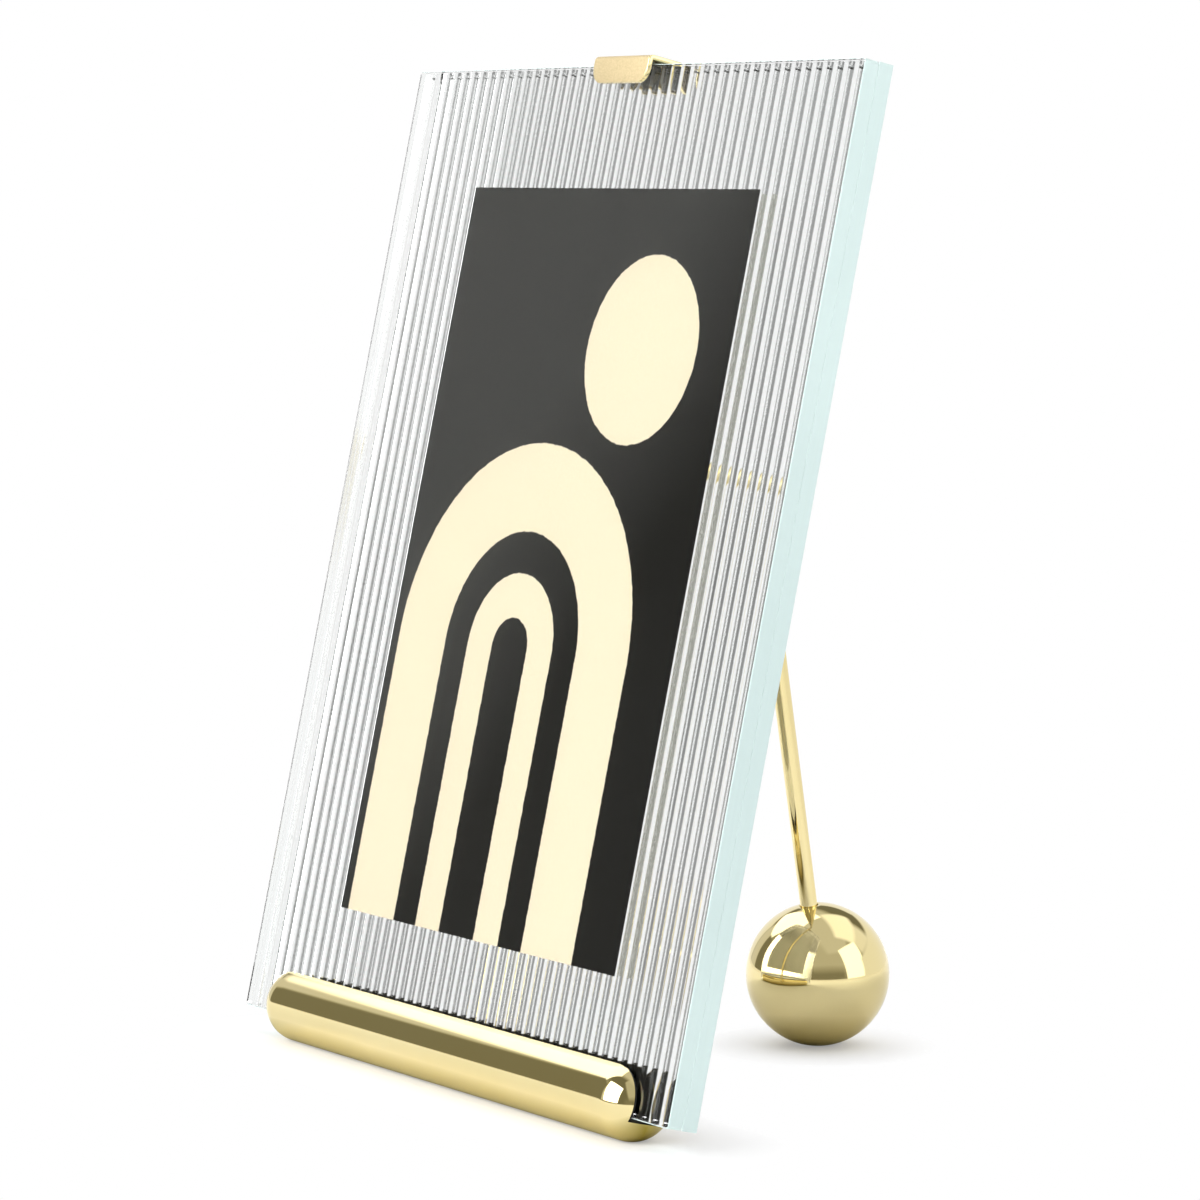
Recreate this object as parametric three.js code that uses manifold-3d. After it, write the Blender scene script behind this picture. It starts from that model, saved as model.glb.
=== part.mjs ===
// Table-top photo display: two leaning glass panes hold a print between them.
// They stand in a slotted round bar, a clip closes their top edge, and a bent
// rod with a ball on its end props the bar from behind.
// Millimetres, +Z up, +X to the viewer's right, +Y away from the viewer.
// The origin lies on the table under the middle of the bar.

import * as THREE from 'three';
import { mergeVertices } from 'three/addons/utils/BufferGeometryUtils.js';
import Module from 'manifold-3d';

const wasm = await Module();
wasm.setup();

// Panes and print
const leanDegrees = 12.4;
const paneWidth = 158.4;
const paneHeight = 202;
const frontPaneThickness = 3.2;
const rearPaneThickness = 3.1;
const paneArris = 0.15;
const ribCount = 47;
const ribRise = 0.8;
const ribSteps = 8;
const printWidth = 101.6;
const printHeight = 152.4;
const printThickness = 0.25;

// Slotted bar
const barDiameter = 15.4;
const barLength = 138.8;
const barFootWidth = 3;
const paneDepthBelowAxis = 2.8;

// Soft lining of the slot and of the clip
const padThickness = 0.5;
const padMargin = 0.5;
const clipPadMargin = 2.2;

// Clip on the panes' top edge
const clipWidth = 19.6;
const clipPlate = 1;
const clipReach = 4;
const clipCorner = 3.4;
const clipBend = 0.8;

// Bent rod and ball
const rodDiameter = 3.6;
const rodBend = 5;
const pegBend = 3;
const pegBelowAxis = 1.2;
const pegWall = 0.8;
const spineGap = 5;
const linkHeight = 126;
const linkLength = 36;
const ballDiameter = 30;
const ballReach = 88.2;
const socketDepth = 8;

// Gaps: beside a piece that slides, under a glued pad, round a fixed rod end
const slideGap = 0.1;
const glueGap = 0.1;
const rodFit = 0.1;

// Facets
const roundSides = 48;
const domeSteps = 12;
const rodSides = 14;
const rodStep = 1.8;
const cornerSteps = 8;

const lean = THREE.MathUtils.degToRad(leanDegrees);
const barRadius = barDiameter / 2;
const ballRadius = ballDiameter / 2;
const axisHeight = Math.sqrt(barRadius ** 2 - (barFootWidth / 2) ** 2);

// Depths through the stack, counted back from the bar's axis square to the panes
const stackDepth = frontPaneThickness + printThickness + rearPaneThickness + 2 * slideGap;
const stackFront = -stackDepth / 2;
const stackBack = stackDepth / 2;
const printFront = stackFront + frontPaneThickness + slideGap;
const rearPaneFront = printFront + printThickness + slideGap;
const liningDepth = slideGap + padThickness + glueGap;
const slotHalfWidth = stackBack + liningDepth;

// Heights up the panes, counted from the bar's axis
const paneBottom = -paneDepthBelowAxis;
const paneTop = paneBottom + paneHeight;
const paneMiddle = paneBottom + paneHeight / 2;
const slotFloor = paneBottom - liningDepth;

const brass = new THREE.MeshStandardMaterial({ color: 0xd8bd74, roughness: 0.08, metalness: 1 });
const satinBrass = new THREE.MeshStandardMaterial({ color: 0xe6cf98, roughness: 0.45, metalness: 1 });
const lining = new THREE.MeshStandardMaterial({ color: 0x151515, roughness: 0.9, metalness: 0 });
const clearGlass = new THREE.MeshStandardMaterial({ color: 0xdff2ef, roughness: 0.02, metalness: 0 });
const ribbedGlass = new THREE.MeshStandardMaterial({ color: 0xd6eeea, roughness: 0.04, metalness: 0 });
const printPaper = new THREE.MeshStandardMaterial({ color: 0xf3e6c4, roughness: 0.7, metalness: 0 });

// Joining and cutting closed solids

function toSolid(geometry) {
  const bare = geometry.clone();
  bare.deleteAttribute('normal');
  bare.deleteAttribute('uv');
  const merged = mergeVertices(bare, 1e-5);
  const vertProperties = new Float32Array(merged.attributes.position.array);
  const triVerts = new Uint32Array(merged.index.array);
  return new wasm.Manifold(new wasm.Mesh({ numProp: 3, vertProperties, triVerts }));
}

function toGeometry(solid) {
  const mesh = solid.getMesh();
  const geometry = new THREE.BufferGeometry();
  geometry.setAttribute('position', new THREE.BufferAttribute(mesh.vertProperties, 3));
  geometry.setIndex(new THREE.BufferAttribute(mesh.triVerts, 1));
  geometry.computeVertexNormals();
  return geometry;
}

function cut(geometry, ...tools) {
  let solid = toSolid(geometry);
  for (const tool of tools) {
    solid = solid.subtract(toSolid(tool));
  }
  return toGeometry(solid);
}

function common(first, second) {
  return toGeometry(toSolid(first).intersect(toSolid(second)));
}

// Basic shapes

// A block between two corners
function block(low, high) {
  const size = high.map((value, axis) => value - low[axis]);
  const geometry = new THREE.BoxGeometry(...size);
  geometry.translate(...low.map((value, axis) => value + size[axis] / 2));
  return geometry;
}

// A bar along X with half-ball ends
function roundEndedBar(radius, length) {
  const halfStraight = length / 2 - radius;
  const profile = [];
  for (let step = 0; step <= domeSteps; step += 1) {
    const angle = (step / domeSteps) * (Math.PI / 2);
    profile.push(new THREE.Vector2(radius * Math.sin(angle), -halfStraight - radius * Math.cos(angle)));
  }
  for (let step = domeSteps; step >= 0; step -= 1) {
    const angle = (step / domeSteps) * (Math.PI / 2);
    profile.push(new THREE.Vector2(radius * Math.sin(angle), halfStraight + radius * Math.cos(angle)));
  }
  const geometry = new THREE.LatheGeometry(profile, roundSides);
  geometry.rotateZ(-Math.PI / 2);
  return geometry;
}

// An outline drawn across and up, made into a plate between two depths
function plate(shape, front, back) {
  const geometry = new THREE.ExtrudeGeometry(shape, {
    depth: back - front,
    bevelEnabled: false,
    curveSegments: cornerSteps,
  });
  geometry.rotateX(Math.PI / 2);
  geometry.translate(0, back, 0);
  return geometry;
}

// A plate's outline with its two lower corners rounded
function tabOutline(width, low, high, corner) {
  const shape = new THREE.Shape();
  shape.moveTo(-width / 2, high);
  shape.lineTo(-width / 2, low + corner);
  shape.absarc(-width / 2 + corner, low + corner, corner, Math.PI, 1.5 * Math.PI, false);
  shape.lineTo(width / 2 - corner, low);
  shape.absarc(width / 2 - corner, low + corner, corner, 1.5 * Math.PI, 2 * Math.PI, false);
  shape.lineTo(width / 2, high);
  return shape;
}

function piece(name, geometry, material) {
  const mesh = new THREE.Mesh(geometry, material);
  mesh.name = name;
  return mesh;
}

// Bent rod: a peg into the bar's back, a spine up behind the panes, a link
// straight back from it, and a leg down into the ball

// A point of the leaning frame, given by its depth and height, in the part's frame
function leaning(depth, height) {
  const point = new THREE.Vector3(0, depth, height);
  point.applyAxisAngle(new THREE.Vector3(1, 0, 0), -lean);
  return point.add(new THREE.Vector3(0, 0, axisHeight));
}

const spineDepth = stackBack + spineGap + rodDiameter / 2;
const linkLevel = paneBottom + linkHeight;
const ballCentre = new THREE.Vector3(0, ballReach, ballRadius);
const pegTip = leaning(slotHalfWidth + pegWall, -pegBelowAxis);
const pegCorner = leaning(spineDepth, -pegBelowAxis);
const spineCorner = leaning(spineDepth, linkLevel);
const legCorner = leaning(spineDepth + linkLength, linkLevel);
const legDirection = ballCentre.clone().sub(legCorner).normalize();
const legTip = ballCentre.clone().addScaledVector(legDirection, socketDepth - ballRadius);

// The rod's centre line with rounded corners, made longer at both ends by an extra length
function rodLine(extra) {
  const start = pegTip.clone().addScaledVector(pegTip.clone().sub(pegCorner).normalize(), extra);
  const end = legTip.clone().addScaledVector(legDirection, extra);
  const corners = [
    { at: pegCorner, bend: pegBend },
    { at: spineCorner, bend: rodBend },
    { at: legCorner, bend: rodBend },
  ];
  const line = new THREE.CurvePath();
  let from = start;
  corners.forEach(({ at, bend }, index) => {
    const next = index + 1 < corners.length ? corners[index + 1].at : end;
    const inward = from.clone().sub(at).normalize();
    const outward = next.clone().sub(at).normalize();
    const trim = bend / Math.tan(inward.angleTo(outward) / 2);
    const bendStart = at.clone().addScaledVector(inward, trim);
    const bendEnd = at.clone().addScaledVector(outward, trim);
    line.add(new THREE.LineCurve3(from, bendStart));
    line.add(new THREE.QuadraticBezierCurve3(bendStart, at, bendEnd));
    from = bendEnd;
  });
  line.add(new THREE.LineCurve3(from, end));
  return line;
}

function rodAlong(line, radius) {
  const section = new THREE.Shape();
  section.absarc(0, 0, radius, 0, 2 * Math.PI, false);
  return new THREE.ExtrudeGeometry(section, {
    steps: Math.round(line.getLength() / rodStep),
    extrudePath: line,
    curveSegments: rodSides,
  });
}

function standRod() {
  return rodAlong(rodLine(0), rodDiameter / 2);
}

// The room that the bar and the ball leave for the rod
function rodRoom() {
  return rodAlong(rodLine(rodFit), rodDiameter / 2 + rodFit);
}

function ballFoot() {
  const ball = new THREE.SphereGeometry(ballRadius, roundSides, roundSides / 2);
  ball.rotateX(Math.PI / 2);
  ball.translate(...ballCentre.toArray());
  return cut(ball, rodRoom());
}

// Bar: a leaning slot open at both ends and on top, a hole for the rod's peg, a flat foot

function baseBar() {
  const bar = roundEndedBar(barRadius, barLength);
  bar.translate(0, 0, axisHeight);
  const slot = block([-barLength, -slotHalfWidth, slotFloor], [barLength, slotHalfWidth, barDiameter]);
  slot.rotateX(-lean);
  slot.translate(0, 0, axisHeight);
  const belowTable = block([-barLength, -barDiameter, -barDiameter], [barLength, barDiameter, 0]);
  return cut(bar, slot, belowTable, rodRoom());
}

// A strip of lining in the slot, its outline set in from the bar's own
function slotPad(low, high) {
  const inside = roundEndedBar(barRadius - padMargin, barLength - 2 * padMargin);
  return common(block([-barLength, ...low], [barLength, ...high]), inside);
}

const floorPadTop = slotFloor + glueGap + padThickness;
const wallPadFace = stackBack + slideGap;

function slotWallPad(side) {
  const depths = [side * wallPadFace, side * (wallPadFace + padThickness)];
  const front = Math.min(...depths);
  const back = Math.max(...depths);
  return slotPad([front, floorPadTop + glueGap], [back, barRadius]);
}

function slotFloorPad() {
  const halfWidth = slotHalfWidth - glueGap;
  return slotPad([-halfWidth, slotFloor + glueGap], [halfWidth, floorPadTop]);
}

// Panes and print

function frontGlass() {
  const halfWidth = paneWidth / 2 - paneArris;
  const halfHeight = paneHeight / 2 - paneArris;
  const shape = new THREE.Shape();
  shape.moveTo(-halfWidth, -halfHeight);
  shape.lineTo(halfWidth, -halfHeight);
  shape.lineTo(halfWidth, halfHeight);
  shape.lineTo(-halfWidth, halfHeight);
  const geometry = new THREE.ExtrudeGeometry(shape, {
    depth: frontPaneThickness - 2 * paneArris,
    bevelThickness: paneArris,
    bevelSize: paneArris,
    bevelSegments: 1,
  });
  geometry.rotateX(Math.PI / 2);
  geometry.center();
  geometry.translate(0, stackFront + frontPaneThickness / 2, paneMiddle);
  return geometry;
}

// Ribs run up the rear pane's front face, each an arc that rises to the same crest.
// In place of the outer halves of the first and last rib, a level strip reaches forward
// to the front pane, so the two side edges meet in a thin line.
function rearGlass() {
  const pitch = paneWidth / ribCount;
  const ribRadius = ((pitch / 2) ** 2 + ribRise ** 2) / (2 * ribRise);
  const halfRib = ribSteps / 2;
  const shape = new THREE.Shape();
  shape.moveTo(-paneWidth / 2, printFront + paneArris);
  shape.lineTo(-paneWidth / 2 + paneArris, printFront);
  shape.lineTo(-paneWidth / 2 + pitch / 2, printFront);
  for (let step = halfRib; step <= ribCount * ribSteps - halfRib; step += 1) {
    const across = (((step % ribSteps) / ribSteps) - 0.5) * pitch;
    const drop = ribRadius - Math.sqrt(ribRadius ** 2 - across ** 2);
    shape.lineTo(-paneWidth / 2 + (step * pitch) / ribSteps, rearPaneFront + drop);
  }
  shape.lineTo(paneWidth / 2 - pitch / 2, printFront);
  shape.lineTo(paneWidth / 2 - paneArris, printFront);
  shape.lineTo(paneWidth / 2, printFront + paneArris);
  shape.lineTo(paneWidth / 2, stackBack - paneArris);
  shape.lineTo(paneWidth / 2 - paneArris, stackBack);
  shape.lineTo(-paneWidth / 2 + paneArris, stackBack);
  shape.lineTo(-paneWidth / 2, stackBack - paneArris);
  const geometry = new THREE.ExtrudeGeometry(shape, { depth: paneHeight, bevelEnabled: false });
  geometry.translate(0, 0, paneBottom);
  return geometry;
}

function photoPrint() {
  const low = [-printWidth / 2, printFront, paneMiddle - printHeight / 2];
  const high = [printWidth / 2, printFront + printThickness, paneMiddle + printHeight / 2];
  return block(low, high);
}

// Clip: one bent plate over the panes' top edge, with lining on its three inner faces

const clipInside = stackBack + liningDepth;
const clipOutside = clipInside + clipPlate;
const clipUnder = paneTop + liningDepth;
const clipTop = clipUnder + clipPlate;
const clipLow = paneTop - clipReach;

function topClip() {
  const bent = new THREE.Shape();
  bent.moveTo(-clipOutside, clipLow);
  bent.lineTo(-clipInside, clipLow);
  bent.lineTo(-clipInside, clipUnder);
  bent.lineTo(clipInside, clipUnder);
  bent.lineTo(clipInside, clipLow);
  bent.lineTo(clipOutside, clipLow);
  bent.lineTo(clipOutside, clipTop - clipBend);
  bent.absarc(clipOutside - clipBend, clipTop - clipBend, clipBend, 0, Math.PI / 2, false);
  bent.lineTo(-clipOutside + clipBend, clipTop);
  bent.absarc(-clipOutside + clipBend, clipTop - clipBend, clipBend, Math.PI / 2, Math.PI, false);
  const strip = new THREE.ExtrudeGeometry(bent, {
    depth: clipWidth,
    bevelEnabled: false,
    curveSegments: cornerSteps,
  });
  strip.translate(0, 0, -clipWidth / 2);
  strip.rotateX(Math.PI / 2);
  strip.rotateZ(Math.PI / 2);
  const outline = tabOutline(clipWidth, clipLow, clipTop + clipPlate, clipCorner);
  return common(strip, plate(outline, -2 * clipOutside, 2 * clipOutside));
}

function clipWallPad(side) {
  const depths = [side * wallPadFace, side * (wallPadFace + padThickness)];
  const width = clipWidth - 2 * clipPadMargin;
  const outline = tabOutline(width, clipLow + padMargin, paneTop, clipCorner - clipPadMargin);
  return plate(outline, Math.min(...depths), Math.max(...depths));
}

function clipTopPad() {
  const halfWidth = clipWidth / 2 - clipPadMargin;
  const low = [-halfWidth, stackFront, paneTop + slideGap];
  const high = [halfWidth, stackBack, paneTop + slideGap + padThickness];
  return block(low, high);
}

// Assembly: what leans is in one turned group on the bar's axis

const leaningGroup = new THREE.Group();
leaningGroup.position.z = axisHeight;
leaningGroup.rotation.x = -lean;
leaningGroup.add(
  piece('slot_front_pad', slotWallPad(-1), lining),
  piece('slot_rear_pad', slotWallPad(1), lining),
  piece('slot_floor_pad', slotFloorPad(), lining),
  piece('front_glass', frontGlass(), clearGlass),
  piece('photo_print', photoPrint(), printPaper),
  piece('rear_glass', rearGlass(), ribbedGlass),
  piece('top_clip', topClip(), satinBrass),
  piece('clip_front_pad', clipWallPad(-1), lining),
  piece('clip_rear_pad', clipWallPad(1), lining),
  piece('clip_top_pad', clipTopPad(), lining),
);

const photoDisplay = new THREE.Group();
photoDisplay.add(
  piece('base_bar', baseBar(), brass),
  piece('stand_rod', standRod(), brass),
  piece('ball_foot', ballFoot(), brass),
  leaningGroup,
);

export default photoDisplay;
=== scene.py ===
import math

import bmesh
import bpy
import numpy as np
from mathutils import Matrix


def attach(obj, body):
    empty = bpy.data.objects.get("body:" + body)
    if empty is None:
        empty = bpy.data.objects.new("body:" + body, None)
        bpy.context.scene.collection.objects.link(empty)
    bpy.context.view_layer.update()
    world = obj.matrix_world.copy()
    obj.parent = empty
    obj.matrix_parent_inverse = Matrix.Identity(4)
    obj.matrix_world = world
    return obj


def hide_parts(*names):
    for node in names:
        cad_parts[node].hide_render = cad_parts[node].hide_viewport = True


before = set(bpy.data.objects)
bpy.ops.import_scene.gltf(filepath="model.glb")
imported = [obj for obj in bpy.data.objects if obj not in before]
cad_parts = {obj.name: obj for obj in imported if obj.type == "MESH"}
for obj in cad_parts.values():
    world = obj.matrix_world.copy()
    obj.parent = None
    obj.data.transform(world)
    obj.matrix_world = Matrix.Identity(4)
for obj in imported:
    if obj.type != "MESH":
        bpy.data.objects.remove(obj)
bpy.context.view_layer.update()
scene = bpy.context.scene
scene.view_settings.view_transform = "Standard"
print("frame loaded,", len(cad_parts), "solids")

# sizes shared by several pieces, millimetres
display = {
    "leanDegrees": 12.4,
    "axisHeight": 7.5525,       # bar's axis above the table
    "paneWidth": 158.4,
    "paneHeight": 202.0,
    "paneBottom": -2.8,         # from the bar's axis, up the panes
    "stackHalf": 3.375,         # half of front pane + print + rear pane
    "lining": 0.7,              # pad and its gaps, beside the stack
}
lean = math.radians(display["leanDegrees"])
paneTop = display["paneBottom"] + display["paneHeight"]
paneMiddle = display["paneBottom"] + display["paneHeight"] / 2


# place across the bar, back from its axis square to the panes, and up the panes -> part frame in metres
def leaning(across, back, up):
    across, back, up = np.broadcast_arrays(across, back, up)
    y = back * math.cos(lean) + up * math.sin(lean)
    z = up * math.cos(lean) - back * math.sin(lean) + display["axisHeight"]
    return np.stack([across, y, z], -1) * 0.001


meshing = {
    "weld": 2e-6,               # points nearer than this become one, metres
    "sliver": 1e-7,
    "sharpDegrees": 35,
}


# grids of points become one closed mesh: neighbours in a grid make quads, shared borders are welded
def makePiece(name, patches, body, node, materials, sharpDegrees=meshing["sharpDegrees"]):
    points, faces, slots, start = [], [], [], 0
    for grid, slotIndex in patches:
        rows, columns = grid.shape[:2]
        index = np.arange(rows * columns).reshape(rows, columns) + start
        quads = np.stack([index[:-1, :-1], index[1:, :-1], index[1:, 1:], index[:-1, 1:]], -1).reshape(-1, 4)
        points.append(grid.reshape(-1, 3))
        faces.append(quads)
        slots.append(np.full(len(quads), slotIndex, np.int32))
        start += rows * columns
    mesh = bpy.data.meshes.new(name)
    mesh.from_pydata(np.concatenate(points).tolist(), [], np.concatenate(faces).tolist())
    mesh.polygons.foreach_set("material_index", np.concatenate(slots))
    weld = bmesh.new()
    weld.from_mesh(mesh)
    bmesh.ops.remove_doubles(weld, verts=weld.verts, dist=meshing["weld"])
    bmesh.ops.dissolve_degenerate(weld, dist=meshing["sliver"], edges=weld.edges)
    bmesh.ops.recalc_face_normals(weld, faces=weld.faces)
    weld.to_mesh(mesh)
    weld.free()
    mesh.polygons.foreach_set("use_smooth", np.ones(len(mesh.polygons), bool))
    mesh.set_sharp_from_angle(angle=math.radians(sharpDegrees))
    for material in materials:
        mesh.materials.append(material)
    piece = bpy.data.objects.new(name, mesh)
    scene.collection.objects.link(piece)
    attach(piece, body)
    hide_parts(node)
    print(name, len(mesh.polygons), "faces")
    return piece


# rounded rectangle: quarter circles moved out to its four corners and closed at the start; the corners'
# places are numbers, or columns for many rectangles at once
def roundedRing(cornerAcross, cornerAlong, radius, steps):
    quarter = np.linspace(0, math.pi / 2, steps + 1)
    across, along = [], []
    for turn, sideAcross, sideAlong in ((0, 1, 1), (1, -1, 1), (2, -1, -1), (3, 1, -1)):
        angle = quarter + turn * math.pi / 2
        across.append(sideAcross * cornerAcross + radius * np.cos(angle))
        along.append(sideAlong * cornerAlong + radius * np.sin(angle))
    across.append(across[0][..., :1])
    along.append(along[0][..., :1])
    return np.concatenate(across, -1), np.concatenate(along, -1)


# one node with its settings and its inputs, each a value or a socket to link from
def addNode(tree, kind, inputs=None, **settings):
    node = tree.nodes.new(kind)
    for key, value in settings.items():
        setattr(node, key, value)
    for key, value in (inputs or {}).items():
        if isinstance(value, bpy.types.NodeSocket):
            tree.links.new(value, node.inputs[key])
        else:
            node.inputs[key].default_value = value
    return node


def newMaterial(name):
    material = bpy.data.materials.new(name)
    material.use_nodes = True
    tree = material.node_tree
    return material, tree, tree.nodes["Principled BSDF"]


def mathNode(tree, operation, first, second=0.0):
    return addNode(tree, "ShaderNodeMath", {0: first, 1: second}, operation=operation).outputs[0]


# object coordinates in millimetres, turned upright for what leans
def millimetres(tree, upright=False):
    coords = addNode(tree, "ShaderNodeTexCoord")
    turn = lean if upright else 0.0
    height = display["axisHeight"] if upright else 0.0
    place = addNode(tree, "ShaderNodeMapping", {
        "Vector": coords.outputs["Object"],
        "Location": (0, math.sin(turn) * height, -math.cos(turn) * height),
        "Rotation": (turn, 0, 0),
        "Scale": (1000, 1000, 1000),
    })
    return place.outputs[0]


def noiseNode(tree, vector, scale, detail=3.0, stretch=None):
    if stretch:
        vector = addNode(tree, "ShaderNodeMapping", {"Vector": vector, "Scale": stretch}).outputs[0]
    noise = addNode(tree, "ShaderNodeTexNoise", {"Vector": vector, "Scale": scale, "Detail": detail})
    return noise.outputs[0]


def spread(tree, value, low, high, fromLow=0.3, fromHigh=0.7):
    return addNode(tree, "ShaderNodeMapRange", {
        "Value": value, "From Min": fromLow, "From Max": fromHigh, "To Min": low, "To Max": high,
    }).outputs[0]


def blendColours(tree, factor, first, second):
    mix = addNode(tree, "ShaderNodeMix", data_type="RGBA")
    for socket, value in ((mix.inputs[0], factor), (mix.inputs[6], first), (mix.inputs[7], second)):
        if isinstance(value, bpy.types.NodeSocket):
            tree.links.new(value, socket)
        else:
            socket.default_value = value
    return mix.outputs[2]


def addBump(tree, shader, height, strength, distance):
    bump = addNode(tree, "ShaderNodeBump", {"Height": height, "Strength": strength, "Distance": distance})
    tree.links.new(bump.outputs[0], shader.inputs["Normal"])


# finishes

brassLook = {
    "colour": (0.835, 0.715, 0.385, 1),
    "warmer": (0.815, 0.69, 0.35, 1),
    "satinPale": (0.63, 0.53, 0.335, 1),
    "satinDeep": (0.53, 0.44, 0.27, 1),
    "polish": (0.025, 0.06),          # roughness of the clear and the hazy parts
    "lines": (0, 0.015),              # added along fine polishing lines
    "satin": (0.66, 0.74),
}


def polishedBrass():
    material, tree, shader = newMaterial("polishedBrass")
    place = millimetres(tree)
    cloud = noiseNode(tree, place, 0.06)
    lines = noiseNode(tree, place, 1.0, 2.0, (0.15, 3.0, 3.0))
    tint = blendColours(tree, spread(tree, cloud, 0, 1), brassLook["colour"], brassLook["warmer"])
    tree.links.new(tint, shader.inputs["Base Color"])
    haze = mathNode(tree, "ADD", spread(tree, cloud, *brassLook["polish"]),
                    spread(tree, lines, *brassLook["lines"]))
    tree.links.new(haze, shader.inputs["Roughness"])
    shader.inputs["Metallic"].default_value = 1.0
    return material


def satinBrass():
    material, tree, shader = newMaterial("satinBrass")
    place = millimetres(tree, True)
    grain = noiseNode(tree, place, 5.0, 4.0, (0.6, 1.0, 1.0))
    tint = blendColours(tree, spread(tree, grain, 0, 1), brassLook["satinPale"], brassLook["satinDeep"])
    tree.links.new(tint, shader.inputs["Base Color"])
    tree.links.new(spread(tree, grain, *brassLook["satin"]), shader.inputs["Roughness"])
    shader.inputs["Metallic"].default_value = 1.0
    addBump(tree, shader, grain, 0.15, 0.00003)
    return material


glassLook = {
    "ior": 1.5,
    "tint": (0.998, 1.0, 0.999, 1),
    "tintDeep": (0.99, 1.0, 0.997, 1),
    "gloss": (0.25, 0.25, 0.25, 1),   # how much a face mirrors
    "smudge": (0.0, 0.012),           # roughness of the clean and the touched parts
    "edge": (0.62, 0.76, 0.745, 1),
    "edgePale": (0.70, 0.85, 0.83, 1),
    "edgeWithin": (0.998, 1.0, 0.999, 1),
    "frost": 0.35,                    # roughness of the edges from outside
    "dullPart": (114, 12, 24),        # from within: height of the duller part, its half, and where it ends
    "dull": (0.12, 0.07),             # roughness there and elsewhere
}


def clearGlass(name):
    material, tree, shader = newMaterial(name)
    place = millimetres(tree, True)
    smudge = noiseNode(tree, place, 0.035, 4.0)
    tint = blendColours(tree, spread(tree, smudge, 0, 1), glassLook["tint"], glassLook["tintDeep"])
    tree.links.new(tint, shader.inputs["Base Color"])
    tree.links.new(spread(tree, smudge, *glassLook["smudge"], 0.45, 0.75), shader.inputs["Roughness"])
    shader.inputs["IOR"].default_value = glassLook["ior"]
    shader.inputs["Specular Tint"].default_value = glassLook["gloss"]
    shader.inputs["Transmission Weight"].default_value = 1.0
    return material


# smoothed edges: clear from within the glass and a pale blue-green frost from outside, with faint grinding
# streaks, random patches, and painted shade that leaves the edge darker low down and paler towards the top
def groundEdge():
    material, tree, shader = newMaterial("groundEdge")
    place = millimetres(tree, True)
    streaks = noiseNode(tree, place, 0.5, 4.0, (6.0, 6.0, 0.12))
    patches = noiseNode(tree, place, 0.018, 1.0)
    up = addNode(tree, "ShaderNodeSeparateXYZ", {0: place}).outputs[2]
    streaksAndPaintedShade = mathNode(tree, "ADD", spread(tree, streaks, -0.12, 0.12), spread(tree, patches, -0.3, 0.3))
    # painted shade: the frost is painted paler up the edge and darker near the bar
    streaksAndPaintedShade = mathNode(tree, "ADD", streaksAndPaintedShade, spread(tree, up, 0.1, 0.8, 0, paneTop))
    within = addNode(tree, "ShaderNodeNewGeometry").outputs["Backfacing"]
    tint = blendColours(tree, streaksAndPaintedShade, glassLook["edge"], glassLook["edgePale"])
    tint = blendColours(tree, within, tint, glassLook["edgeWithin"])
    tree.links.new(tint, shader.inputs["Base Color"])
    tree.links.new(within, shader.inputs["Transmission Weight"])
    middle, solid, fading = glassLook["dullPart"]
    offset = mathNode(tree, "ABSOLUTE", mathNode(tree, "SUBTRACT", up, middle))
    dull = spread(tree, offset, *glassLook["dull"], solid, fading)
    tree.links.new(spread(tree, within, glassLook["frost"], dull, 0, 1), shader.inputs["Roughness"])
    shader.inputs["IOR"].default_value = glassLook["ior"]
    return material


liningLook = {
    "slot": ((0.008, 0.008, 0.008, 1), (0.018, 0.018, 0.017, 1)),
    # painted light: the clip's pads are painted pale grey so that the shade they sit in inside the clip reads
    # lighter
    "clip": ((0.45, 0.45, 0.42, 1), (0.55, 0.55, 0.51, 1)),
}


def softLining(where):
    material, tree, shader = newMaterial(where + "Lining")
    cells = noiseNode(tree, millimetres(tree, True), 2.2, 5.0)
    tint = blendColours(tree, spread(tree, cells, 0, 1), *liningLook[where])
    tree.links.new(tint, shader.inputs["Base Color"])
    tree.links.new(spread(tree, cells, 0.6, 0.85), shader.inputs["Roughness"])
    addBump(tree, shader, cells, 0.4, 0.0001)
    return material


# arches and a disc of pale paper left open in a black ground, millimetres from the sheet's middle
printLook = {
    "paper": (0.97, 0.84, 0.62, 1),
    "paperShade": (0.95, 0.815, 0.585, 1),
    "ink": (0.001, 0.001, 0.001, 1),
    "inkShade": (0.002, 0.002, 0.0018, 1),
    # painted reflection: the ink is painted lighter towards the top left, standing for the room's sheen on
    # the glass
    "inkPaintedSheen": (0.048, 0.048, 0.046, 1),
    "sheenSpan": (-16.0, 16.0),            # across a slanted line through the middle
    "slant": (0.4, 0.5),              # how far that counts up and across
    "reverse": (0.74, 0.74, 0.67, 1),
    "disc": (21.0, 44.0, 19.0),       # across, up, radius
    "arches": [
        # across, up, mid radius, half width
        (-6.0, -18.0, 33.0, 9.0),
        (-6.0, -18.0, 11.0, 4.5),
    ],
    "wobble": 0.12,
    "edge": 0.12,
    "matt": (0.5, 0.7),
    "gloss": 0.015,
}


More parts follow.
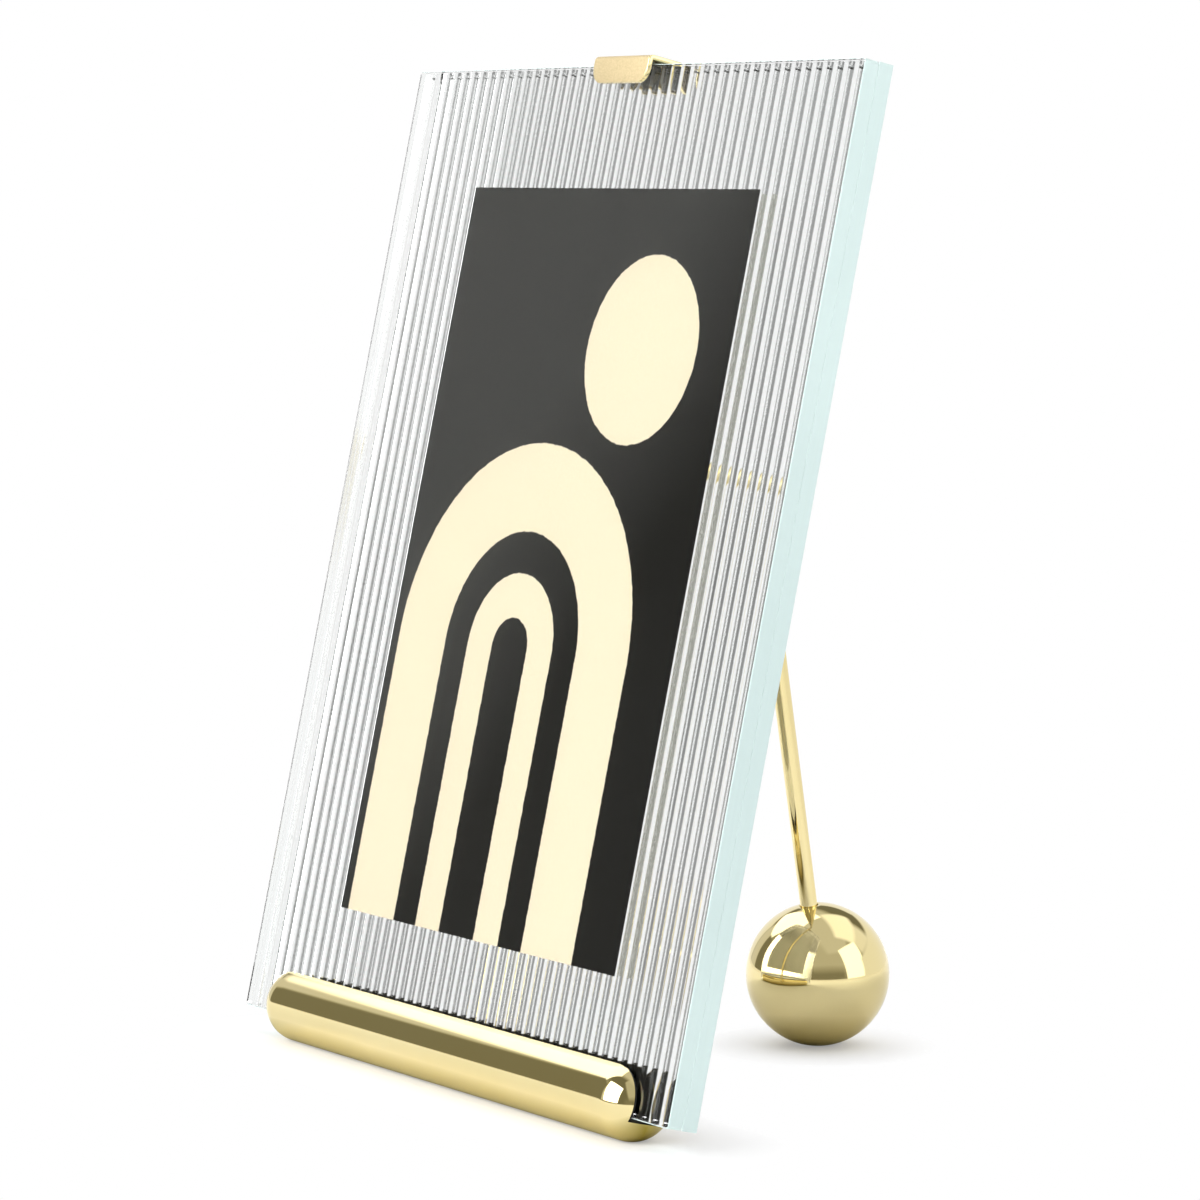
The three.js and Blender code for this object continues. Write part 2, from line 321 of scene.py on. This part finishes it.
def photoPrint():
    material, tree, shader = newMaterial("photoPrint")
    place = millimetres(tree, True)
    wobble = spread(tree, noiseNode(tree, place, 0.5, 3.0), -printLook["wobble"], printLook["wobble"])
    parts = addNode(tree, "ShaderNodeSeparateXYZ", {0: place}).outputs
    across = parts[0]
    up = mathNode(tree, "SUBTRACT", parts[2], paneMiddle)

    def reach(x, y):
        pair = addNode(tree, "ShaderNodeCombineXYZ", {0: x, 1: y}).outputs[0]
        return addNode(tree, "ShaderNodeVectorMath", {0: pair}, operation="LENGTH").outputs["Value"]

    def inside(distance):
        rough = mathNode(tree, "ADD", distance, wobble)
        return spread(tree, rough, 1, 0, -printLook["edge"], printLook["edge"])

    x, y, radius = printLook["disc"]
    span = reach(mathNode(tree, "SUBTRACT", across, x), mathNode(tree, "SUBTRACT", up, y))
    shape = inside(mathNode(tree, "SUBTRACT", span, radius))
    for x, y, radius, half in printLook["arches"]:
        rise = mathNode(tree, "MAXIMUM", mathNode(tree, "SUBTRACT", up, y), 0.0)
        span = reach(mathNode(tree, "SUBTRACT", across, x), rise)
        off = mathNode(tree, "ABSOLUTE", mathNode(tree, "SUBTRACT", span, radius))
        shape = mathNode(tree, "MAXIMUM", shape, inside(mathNode(tree, "SUBTRACT", off, half)))
    fibres = spread(tree, noiseNode(tree, place, 1.6, 5.0), 0, 1)
    ink = blendColours(tree, fibres, printLook["ink"], printLook["inkShade"])
    # painted reflection: the ink turns to the lighter sheen colour towards the top left, across a slanted
    # line
    upPart, acrossPart = printLook["slant"]
    slant = mathNode(tree, "SUBTRACT", mathNode(tree, "MULTIPLY", up, upPart),
                     mathNode(tree, "MULTIPLY", across, acrossPart))
    ink = blendColours(tree, spread(tree, slant, 0, 1, *printLook["sheenSpan"]), ink, printLook["inkPaintedSheen"])
    paper = blendColours(tree, fibres, printLook["paper"], printLook["paperShade"])
    face = blendColours(tree, shape, ink, paper)
    normal = addNode(tree, "ShaderNodeNewGeometry").outputs["Normal"]
    toBack = addNode(tree, "ShaderNodeSeparateXYZ", {0: normal}).outputs[1]
    behind = mathNode(tree, "GREATER_THAN", toBack, 0.5)
    tree.links.new(blendColours(tree, behind, face, printLook["reverse"]), shader.inputs["Base Color"])
    tree.links.new(spread(tree, fibres, *printLook["matt"], 0, 1), shader.inputs["Roughness"])
    shader.inputs["Specular IOR Level"].default_value = printLook["gloss"]
    addBump(tree, shader, fibres, 0.08, 0.00004)
    return material


brass, clipBrass = polishedBrass(), satinBrass()
frontGlass, rearGlass, glassEdge = clearGlass("clearGlass"), clearGlass("ribbedGlass"), groundEdge()
for material, names in (
    (softLining("slot"), ("slot_front_pad", "slot_rear_pad", "slot_floor_pad")),
    (softLining("clip"), ("clip_front_pad", "clip_rear_pad", "clip_top_pad")),
    (photoPrint(), ("photo_print",)),
):
    for name in names:
        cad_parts[name].data.materials.clear()
        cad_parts[name].data.materials.append(material)
print("finishes made")


# round bar with half-ball ends and a leaning slot

barSize = {
    "radius": 7.7,
    "length": 138.8,
    "slotHalf": display["stackHalf"] + display["lining"],
    "slotFloor": display["paneBottom"] - display["lining"],
    "wallSteps": 48,
    "floorSteps": 24,
    "domeSteps": 18,
    "straightSteps": 48,
}


# a direction turns round the axis from one slot lip under the bar to the other; along it the skin runs from
# where the slot cuts one half-ball, over the straight, to the same place on the other end
def barBody():
    radius, slotHalf, slotFloor = barSize["radius"], barSize["slotHalf"], barSize["slotFloor"]
    middle = barSize["length"] / 2 - radius
    lip = math.asin(slotHalf / radius)
    corner = math.pi - math.atan(slotHalf / -slotFloor)
    wall = np.linspace(lip, corner, barSize["wallSteps"])
    floor = np.linspace(corner, 2 * math.pi - corner, barSize["floorSteps"])
    turn = np.concatenate([wall, floor[1:-1], 2 * math.pi - wall[::-1]])
    cutWall = slotHalf / np.maximum(np.abs(np.sin(turn)), 1e-9)
    cutFloor = np.where(np.cos(turn) < -1e-6, slotFloor / np.minimum(np.cos(turn), -1e-6), np.inf)
    cut = np.minimum(np.minimum(cutWall, cutFloor), radius)
    dome = np.arccos(cut / radius)[:, None] * np.linspace(1, 0, barSize["domeSteps"] + 1)[None, :]
    straight = np.linspace(-middle, middle, barSize["straightSteps"] + 1)
    along = np.concatenate([
        -middle - radius * np.sin(dome[:, :-1]),
        np.broadcast_to(straight, (len(turn), len(straight))),
        middle + radius * np.sin(dome[:, -2::-1]),
    ], 1)
    reach = radius * np.cos(np.concatenate([
        dome[:, :-1], np.zeros((len(turn), len(straight))), dome[:, -2::-1]], 1))
    skin = leaning(along, -reach * np.sin(turn)[:, None], reach * np.cos(turn)[:, None])

    # flat slot faces, each row as long as the skin leaves open there
    def slotFace(angles, reachThere):
        half = middle + np.sqrt(np.maximum(radius ** 2 - reachThere ** 2, 0))
        x = half[:, None] * np.linspace(-1, 1, barSize["straightSteps"] + 1)[None, :]
        return leaning(x, -(reachThere * np.sin(angles))[:, None], (reachThere * np.cos(angles))[:, None])

    frontWall = slotFace(wall, slotHalf / np.sin(wall))
    backWall = slotFace(2 * math.pi - wall, slotHalf / np.sin(wall))
    bottom = slotFace(floor, slotFloor / np.cos(floor))
    patches = []
    for grid in (skin, frontWall, backWall, bottom):
        grid[..., 2] = np.maximum(grid[..., 2], 0)   # narrow flat that stands on the table
        patches.append((grid, 0))
    return makePiece("barBody", patches, "base", "base_bar", [brass])


barBody()

# bent rod and ball

standSize = {
    "rodRadius": 1.8,
    "spineBack": display["stackHalf"] + 6.8,
    "pegUp": -1.2,
    "pegTip": 4.9,
    "linkUp": display["paneBottom"] + 126.0,
    "linkLength": 36.0,
    "pegBend": 3.0,
    "rodBend": 5.0,
    "ballCentre": (0.0, 88.2, 15.0),
    "ballRadius": 15.0,
    "socketDepth": 8.0,
    "socketLip": 0.25,
    "socketGap": 0.1,
    "lipEase": 0.07,
    "rodSides": 48,
    "bendSteps": 24,
    "ballSides": 128,
    "ballRings": 96,
}
ballCentre = np.array(standSize["ballCentre"]) * 0.001
legCorner = leaning(0, standSize["spineBack"] + standSize["linkLength"], standSize["linkUp"])
legWay = (ballCentre - legCorner) / np.linalg.norm(ballCentre - legCorner)


# straight runs joined by parabola bends; a circle is carried along the line, which stays in the middle plane
def standRod():
    size = standSize
    tip = leaning(0, size["pegTip"], size["pegUp"])
    spineFoot = leaning(0, size["spineBack"], size["pegUp"])
    spineTop = leaning(0, size["spineBack"], size["linkUp"])
    end = ballCentre + legWay * (size["socketDepth"] - size["ballRadius"]) * 0.001
    stops = [tip, spineFoot, spineTop, legCorner, end]
    t = np.linspace(0, 1, size["bendSteps"] + 1)[:, None]
    line = [tip[None, :]]
    for i, bend in enumerate((size["pegBend"], size["rodBend"], size["rodBend"])):
        before, here, after = stops[i], stops[i + 1], stops[i + 2]
        inWay = (before - here) / np.linalg.norm(before - here)
        outWay = (after - here) / np.linalg.norm(after - here)
        trim = bend * 0.001 / math.tan(math.acos(np.clip(inWay @ outWay, -1, 1)) / 2)
        first, last = here + inWay * trim, here + outWay * trim
        line.append((1 - t) ** 2 * first + 2 * t * (1 - t) * here + t ** 2 * last)
    line.append(end[None, :])
    line = np.concatenate(line)
    way = np.gradient(line, axis=0)
    way[0], way[-1] = line[1] - line[0], line[-1] - line[-2]
    way /= np.linalg.norm(way, axis=1, keepdims=True)
    across = np.array([1.0, 0, 0])
    side = np.cross(way, across)
    angle = np.linspace(0, 2 * math.pi, size["rodSides"] + 1)
    ring = np.cos(angle)[None, :, None] * side[:, None, :] + np.sin(angle)[None, :, None] * across
    grid = line[:, None, :] + ring * size["rodRadius"] * 0.001
    caps = [np.broadcast_to(line[i], grid[0].shape)[None] for i in (0, -1)]
    grid = np.concatenate([caps[0], grid, caps[1]])
    return makePiece("standRod", [(grid, 0)], "base", "stand_rod", [brass])


# a profile from the socket's floor over its eased lip round the ball to the far pole, turned about the leg
def ballFoot():
    size = standSize
    radius, hole = size["ballRadius"], size["rodRadius"] + size["socketGap"]
    lip, lipEase = size["socketLip"], size["lipEase"]
    lipAngle = math.asin((hole + lip) / radius)
    polar = np.linspace(lipAngle, math.pi, size["ballRings"] + 1)
    out = np.concatenate([[0, hole, hole, hole + lipEase], radius * np.sin(polar)])
    lipUp, socketFloor = radius * math.cos(lipAngle), radius - size["socketDepth"]
    up = np.concatenate([[socketFloor, socketFloor, lipUp - lip, lipUp - lipEase], radius * np.cos(polar)])
    out[-1] = 0
    angle = np.linspace(0, 2 * math.pi, size["ballSides"] + 1)
    axis, across = -legWay, np.array([1.0, 0, 0])
    side = np.cross(axis, across)
    ring = np.cos(angle)[None, :, None] * across + np.sin(angle)[None, :, None] * side
    grid = ballCentre + 0.001 * (out[:, None, None] * ring + up[:, None, None] * axis)
    return makePiece("ballFoot", [(grid, 0)], "base", "ball_foot", [brass])


standRod()
ballFoot()

# panes

paneSize = {
    "frontThickness": 3.2,
    "arris": 0.15,
    "seam": 0.02,               # the front pane's edge where the panes meet
    "edgeStrip": -0.115,        # level side strips of the ribbed pane, from the stack's middle
    "cornerRadius": 0.8,
    "cornerSteps": 8,
    "ribFront": 0.275,          # rib crests, from the stack's middle
    "ribs": 47,
    "ribRise": 0.8,
    "ribSteps": 20,
    "upSteps": 8,
    "sharpDegrees": 20,         # keeps the front pane's slight arris crisp
}


# rings run from the middle of one face over the arrised edge to the middle of the other
def frontPane():
    size = paneSize
    front, back = -display["stackHalf"], -display["stackHalf"] + size["frontThickness"]
    arris, seam = size["arris"], size["seam"]
    steps = [(arris, front), (0, front + arris), (0, back - seam), (seam, back)]
    corner = size["cornerRadius"]
    cornerAcross, cornerUp = display["paneWidth"] / 2 - corner, display["paneHeight"] / 2 - corner
    rings = []
    for inset, depth in steps:
        x, y = roundedRing(cornerAcross, cornerUp, corner - inset, size["cornerSteps"])
        rings.append(leaning(x, depth, y + paneMiddle))
    rings = np.stack(rings)
    centre = [np.broadcast_to(leaning(0, depth, paneMiddle), rings[0].shape) for depth in (front, back)]
    faces = [(np.stack([centre[0], rings[0]]), 0), (rings, 1), (np.stack([rings[-1], centre[1]]), 0)]
    return makePiece("frontPane", faces, "front_pane", "front_glass",
                     [frontGlass, glassEdge], size["sharpDegrees"])


# each rib is an arc across the pane, and the outer halves of the first and last are level strips that all but
# touch the front pane; this line and the flat back are carried up the pane's height
def ribbedPane():
    size = paneSize
    half, back, arris = display["paneWidth"] / 2, display["stackHalf"], size["arris"]
    pitch = display["paneWidth"] / size["ribs"]
    radius = ((pitch / 2) ** 2 + size["ribRise"] ** 2) / (2 * size["ribRise"])
    count = (size["ribs"] - 1) * size["ribSteps"] + 1
    fromCrest = (np.arange(count) / size["ribSteps"] + 0.5) % 1.0 - 0.5
    drop = radius - np.sqrt(radius ** 2 - (fromCrest * pitch) ** 2)
    x = np.linspace(pitch / 2 - half, half - pitch / 2, count)
    inner, strip = half - pitch / 2, size["edgeStrip"]
    x = np.concatenate([[-half, arris - half, -inner], x, [inner, half - arris, half]])
    side = np.array([strip + arris, strip, strip])
    depth = np.concatenate([side, size["ribFront"] + drop, side[::-1]])
    flatDepth = back - np.concatenate([[arris], np.zeros(count + 4), [arris]])
    up = np.linspace(display["paneBottom"], paneTop, size["upSteps"] + 1)
    ribs = leaning(x[:, None], depth[:, None], up[None, :])
    flat = leaning(x[:, None], flatDepth[:, None], up[None, :])
    patches = []
    for face in (ribs, flat):
        patches += [(face[:2], 1), (face[1:-1], 0), (face[-2:], 1)]
    for i in (0, -1):
        patches.append((np.stack([ribs[i], flat[i]]), 1))
        patches.append((np.stack([ribs[:, i], flat[:, i]]), 1))
    return makePiece("ribbedPane", patches, "rear_pane", "rear_glass", [rearGlass, glassEdge])


frontPane()
ribbedPane()

# clip over the top edge

clipSize = {
    "width": 19.6,
    "plate": 1.0,
    "reach": 4.0,
    "corner": 3.4,
    "bend": 0.6,
    "ease": 0.22,               # rounding of the plate's cut edges
    "easePart": 0.3,            # where between the tab's tip and its full section a ring stands
    "easeSteps": 4,
    "cornerSteps": 14,
    "bendSteps": 10,
}


# a plate section with eased edges is carried up one tab, over the web and down the other; it narrows to the
# rounded corners at both ends
def topClip():
    size = clipSize
    thick, ease = size["plate"] / 2, size["ease"]
    depth = display["stackHalf"] + display["lining"] + thick
    low, top = paneTop - size["reach"], paneTop + display["lining"] + thick
    swing = np.linspace(0, math.pi / 2, size["cornerSteps"])
    tabUp = low + size["corner"] * (1 - np.cos(swing))
    tabHalf = size["width"] / 2 - size["corner"] * (1 - np.sin(swing))
    nearTip = size["easePart"] * ease
    tabUp = np.concatenate([[low, low + nearTip], tabUp[1:]])
    tabHalf = np.concatenate([[tabHalf[0] - ease, tabHalf[0] - nearTip], tabHalf[1:]])
    tabThick = np.concatenate([[thick - ease, thick - nearTip], np.full(len(swing) - 1, thick)])
    bend = np.linspace(0, math.pi / 2, size["bendSteps"])
    bendBack = -depth + size["bend"] * (1 - np.cos(bend))
    bendUp = top - size["bend"] * (1 - np.sin(bend))
    back = np.concatenate([np.full(len(tabUp), -depth), bendBack])
    up = np.concatenate([tabUp, bendUp])
    outBack = np.concatenate([np.full(len(tabUp), -1.0), -np.cos(bend)])
    outUp = np.concatenate([np.zeros(len(tabUp)), np.sin(bend)])
    half = np.concatenate([tabHalf, np.full(len(bend), size["width"] / 2)])
    thickness = np.concatenate([tabThick, np.full(len(bend), thick)])

    def bothTabs(values, sign=1):
        return np.concatenate([values, sign * values[::-1]])

    back, outBack = bothTabs(back, -1), bothTabs(outBack, -1)
    up, outUp, half, thickness = (bothTabs(values) for values in (up, outUp, half, thickness))
    side, face = roundedRing(half[:, None] - ease, thickness[:, None] - ease, ease, size["easeSteps"])
    grid = leaning(side, back[:, None] + face * outBack[:, None], up[:, None] + face * outUp[:, None])
    caps = [np.broadcast_to(grid[i].mean(0), grid[0].shape)[None] for i in (0, -1)]
    grid = np.concatenate([caps[0], grid, caps[1]])
    # satin faces, polished cut edges: the outer face lies between the ring's first and second corner, the
    # inner one between its third and fourth
    corner = size["easeSteps"] + 1
    outer, inner = grid[:, corner - 1:corner + 1], grid[:, 3 * corner - 1:3 * corner + 1]
    patches = [(grid[:, :corner], 1), (grid[:, corner:3 * corner], 1), (grid[:, 3 * corner:], 1)]
    for face in (outer, inner):
        patches += [(face[:3], 1), (face[2:-2], 0), (face[-3:], 1)]
    return makePiece("topClip", patches, "clip", "top_clip", [clipBrass, brass])


topClip()

# studio: directions are degrees round from straight behind towards the right, and degrees up

studio = {
    "room": 0.2,                # level where no box is
    "roomTint": (1.0, 0.96, 0.72, 1),
    "below": 0.9,               # level under the horizon
    "boxes": [
        # round, up, half width, half height, level, soft edge
        (104, 34, 30, 40, 0.58, 0.06),       # right wall
        (112, 0, 34, 16, 0.26, 0.14),        # its shaded foot
        (-127, 26, 15, 14, 0.40, 0.12),      # front left corner of the room
        (-127, 0, 16, 7, 0.08, 0.08),        # its shaded foot
        (-127.5, 8, 1.6, 20, 0.85, 0.015),   # narrow strip of light there
        (-141, 16, 5, 15, 0.75, 0.03),       # pale wall beside it
        (-101, 8, 10, 27, 0.75, 0.04),       # left wall
        (0, 84, 50, 24, 0.7, 0.10),          # ceiling
        (18, 40, 19, 16, 1.0, 0.10),         # glow above the backdrop
        (8, 60, 24, 15, 1.35, 0.05),         # overhead softbox
        (60, 22, 18, 23, 2.0, 0.02),         # right softbox
        (-96, 53, 18, 22, 2.2, 0.02),        # left softbox
        (-170, 25, 25, 22, 6.6, 0.02),       # front softbox
    ],
    "inMetal": (-123, 15, 12, 17, 0.03),     # even part of the front left corner, as metal mirrors it
    "inMetalLevel": 0.23,
    "inRibs": (-127, 4, 16, 7, 0.06),        # low part of that corner, paler where ribs bend it
    "inRibsLevel": 0.29,
    "inGlass": (112, 0, 37, 28, 0.05),       # white sheet at the right, as glass bends it
    "backdrop": [
        # round, up, half width, half height and soft edge of the white sheet behind
        (-62, 0, 28, 28, 0.05),
        (2, 0, 42, 28, 0.05),
    ],
    "floor": (0.88, 0.88, 0.88, 1),
    "floorShade": (0.87, 0.87, 0.87, 1),
    "floorSize": 3.0,
    "floorRough": 0.9,
    "floorFade": (0.25, 0.7),        # where the floor that metal mirrors turns plain white, from the middle
    "shadowFade": (0.007, 0.025),    # where the shadow ends, from the bar and the ball
    "shadowPale": 0.3,
    # painted shade: near the bar and the ball, the floor that brass mirrors is painted darker and warmer, a
    # painted contact shadow seen only in reflections; barContact and ballContact are how far out it reaches,
    # contactShade its colour
    "barContact": 0.013,             # how far out brass warms and darkens the floor that it mirrors
    "ballContact": 0.018,
    "contactShade": (0.35, 0.32, 0.12, 1),
}


# each box is a flat rectangle far away: a direction's slope to its sides says if it falls inside
def studioWorld():
    world = bpy.data.worlds.new("studio")
    world.use_nodes = True
    tree = world.node_tree
    way = addNode(tree, "ShaderNodeTexCoord").outputs["Generated"]

    def boxMask(around, up, halfWidth, halfHeight, soft):
        around, up = math.radians(around), math.radians(up)
        forward = (math.cos(up) * math.sin(around), math.cos(up) * math.cos(around), math.sin(up))
        right = (math.cos(around), -math.sin(around), 0.0)
        above = (-math.sin(up) * math.sin(around), -math.sin(up) * math.cos(around), math.cos(up))
        along, aside, over = (
            addNode(tree, "ShaderNodeVectorMath", {0: way, 1: axis}, operation="DOT_PRODUCT").outputs["Value"]
            for axis in (forward, right, above))
        mask = mathNode(tree, "GREATER_THAN", along, 0.01)
        for offset, half in ((aside, halfWidth), (over, halfHeight)):
            slope = mathNode(tree, "ABSOLUTE", mathNode(tree, "DIVIDE", offset, along))
            edge = math.tan(math.radians(half))
            mask = mathNode(tree, "MULTIPLY", mask, spread(tree, slope, 1, 0, edge - soft, edge + soft))
        return mask

    height = addNode(tree, "ShaderNodeSeparateXYZ", {0: way}).outputs[2]
    level = spread(tree, height, studio["below"], studio["room"], -0.01, 0.01)
    for around, up, halfWidth, halfHeight, strength, soft in studio["boxes"]:
        mask = boxMask(around, up, halfWidth, halfHeight, soft)
        level = addNode(tree, "ShaderNodeMix", {0: mask, 2: level, 3: strength}).outputs[0]
    sheet = 0.0
    for box in studio["backdrop"]:
        sheet = mathNode(tree, "MAXIMUM", boxMask(*box), sheet)
    # the camera sees plain white, metal and glass see the white sheet
    ray = addNode(tree, "ShaderNodeLightPath").outputs
    mirrored = mathNode(tree, "MAXIMUM", ray["Is Glossy Ray"], ray["Is Transmission Ray"])
    metal = mathNode(tree, "SUBTRACT", ray["Is Glossy Ray"], ray["Is Transmission Ray"])
    even = mathNode(tree, "MULTIPLY", metal, boxMask(*studio["inMetal"]))
    level = addNode(tree, "ShaderNodeMix", {0: even, 2: level, 3: studio["inMetalLevel"]}).outputs[0]
    paler = mathNode(tree, "MULTIPLY", ray["Is Transmission Ray"], boxMask(*studio["inRibs"]))
    level = mathNode(tree, "MAXIMUM", level, mathNode(tree, "MULTIPLY", paler, studio["inRibsLevel"]))
    aside = mathNode(tree, "MULTIPLY", ray["Is Transmission Ray"], boxMask(*studio["inGlass"]))
    seen = mathNode(tree, "MAXIMUM", ray["Is Camera Ray"], mathNode(tree, "MULTIPLY", mirrored, sheet))
    seen = mathNode(tree, "MAXIMUM", seen, aside)
    level = addNode(tree, "ShaderNodeMix", {0: seen, 2: level, 3: 1.0}).outputs[0]
    # the dim parts look warmer in metal
    dim = mathNode(tree, "MULTIPLY", metal, spread(tree, level, 1, 0, 0.2, 0.8))
    tree.links.new(level, tree.nodes["Background"].inputs["Strength"])
    tree.links.new(blendColours(tree, dim, (1, 1, 1, 1), studio["roomTint"]),
                   tree.nodes["Background"].inputs["Color"])
    scene.world = world


# pale floor that fades into the white background away from the display
def studioFloor():
    half = studio["floorSize"]
    mesh = bpy.data.meshes.new("floor")
    corners = [(-half, -half, 0), (half, -half, 0), (half, half, 0), (-half, half, 0)]
    mesh.from_pydata(corners, [], [(0, 1, 2, 3)])
    material, tree, shader = newMaterial("paleFloor")
    coords = addNode(tree, "ShaderNodeTexCoord").outputs["Object"]
    grain = noiseNode(tree, coords, 30.0)
    tint = blendColours(tree, spread(tree, grain, 0, 1), studio["floor"], studio["floorShade"])
    shader.inputs["Roughness"].default_value = studio["floorRough"]
    shader.inputs["Specular IOR Level"].default_value = 0.0

    def away(vector):
        return addNode(tree, "ShaderNodeVectorMath", {0: vector}, operation="LENGTH").outputs["Value"]

    # nearest of the bar's line and the ball's foot
    parts = addNode(tree, "ShaderNodeSeparateXYZ", {0: coords}).outputs
    beyond = mathNode(tree, "SUBTRACT", mathNode(tree, "ABSOLUTE", parts[0]), barSize["length"] * 0.0005)
    fromBar = addNode(tree, "ShaderNodeCombineXYZ", {0: mathNode(tree, "MAXIMUM", beyond, 0.0), 1: parts[1]})
    fromBall = addNode(tree, "ShaderNodeVectorMath", {0: coords, 1: (ballCentre[0], ballCentre[1], 0)},
                       operation="SUBTRACT")
    barAway, ballAway = away(fromBar.outputs[0]), away(fromBall.outputs[0])
    near = mathNode(tree, "MINIMUM", barAway, ballAway)
    ray = addNode(tree, "ShaderNodeLightPath").outputs
    # painted shade for mirror rays only: the floor's colour turns to contactShade near the bar and the ball
    contact = mathNode(tree, "MAXIMUM", spread(tree, barAway, 1, 0, 0, studio["barContact"]),
                       spread(tree, ballAway, 1, 0, 0, studio["ballContact"]))
    mirroredPaintedShade = mathNode(tree, "MULTIPLY", ray["Is Glossy Ray"], contact)
    tree.links.new(blendColours(tree, mirroredPaintedShade, tint, studio["contactShade"]), shader.inputs["Base Color"])
    straight = mathNode(tree, "MULTIPLY", ray["Is Camera Ray"],
                        spread(tree, near, studio["shadowPale"], 1, *studio["shadowFade"]))
    mirrored = mathNode(tree, "MULTIPLY", ray["Is Glossy Ray"],
                        spread(tree, away(coords), 0, 1, *studio["floorFade"]))
    white = mathNode(tree, "MAXIMUM", straight, mirrored)
    white = mathNode(tree, "MAXIMUM", white, ray["Is Transmission Ray"])
    glow = addNode(tree, "ShaderNodeEmission", {"Color": (1, 1, 1, 1), "Strength": 1.0})
    mix = addNode(tree, "ShaderNodeMixShader", {0: white, 1: shader.outputs[0], 2: glow.outputs[0]})
    tree.links.new(mix.outputs[0], tree.nodes["Material Output"].inputs["Surface"])
    mesh.materials.append(material)
    floor = bpy.data.objects.new("floor", mesh)
    scene.collection.objects.link(floor)


studioWorld()
studioFloor()

cameraPlace = {
    "location": (0.78984, -0.49155, 0.17974),
    "turn": (84.945, -0.2316, 56.4175),
    "lens": 142.13,
}
camera = bpy.data.cameras.new("camera")
camera.sensor_width = 36.0
camera.lens = cameraPlace["lens"]
cameraObject = bpy.data.objects.new("camera", camera)
cameraObject.location = cameraPlace["location"]
cameraObject.rotation_euler = [math.radians(a) for a in cameraPlace["turn"]]
scene.collection.objects.link(cameraObject)
scene.camera = cameraObject
print("studio and camera set")
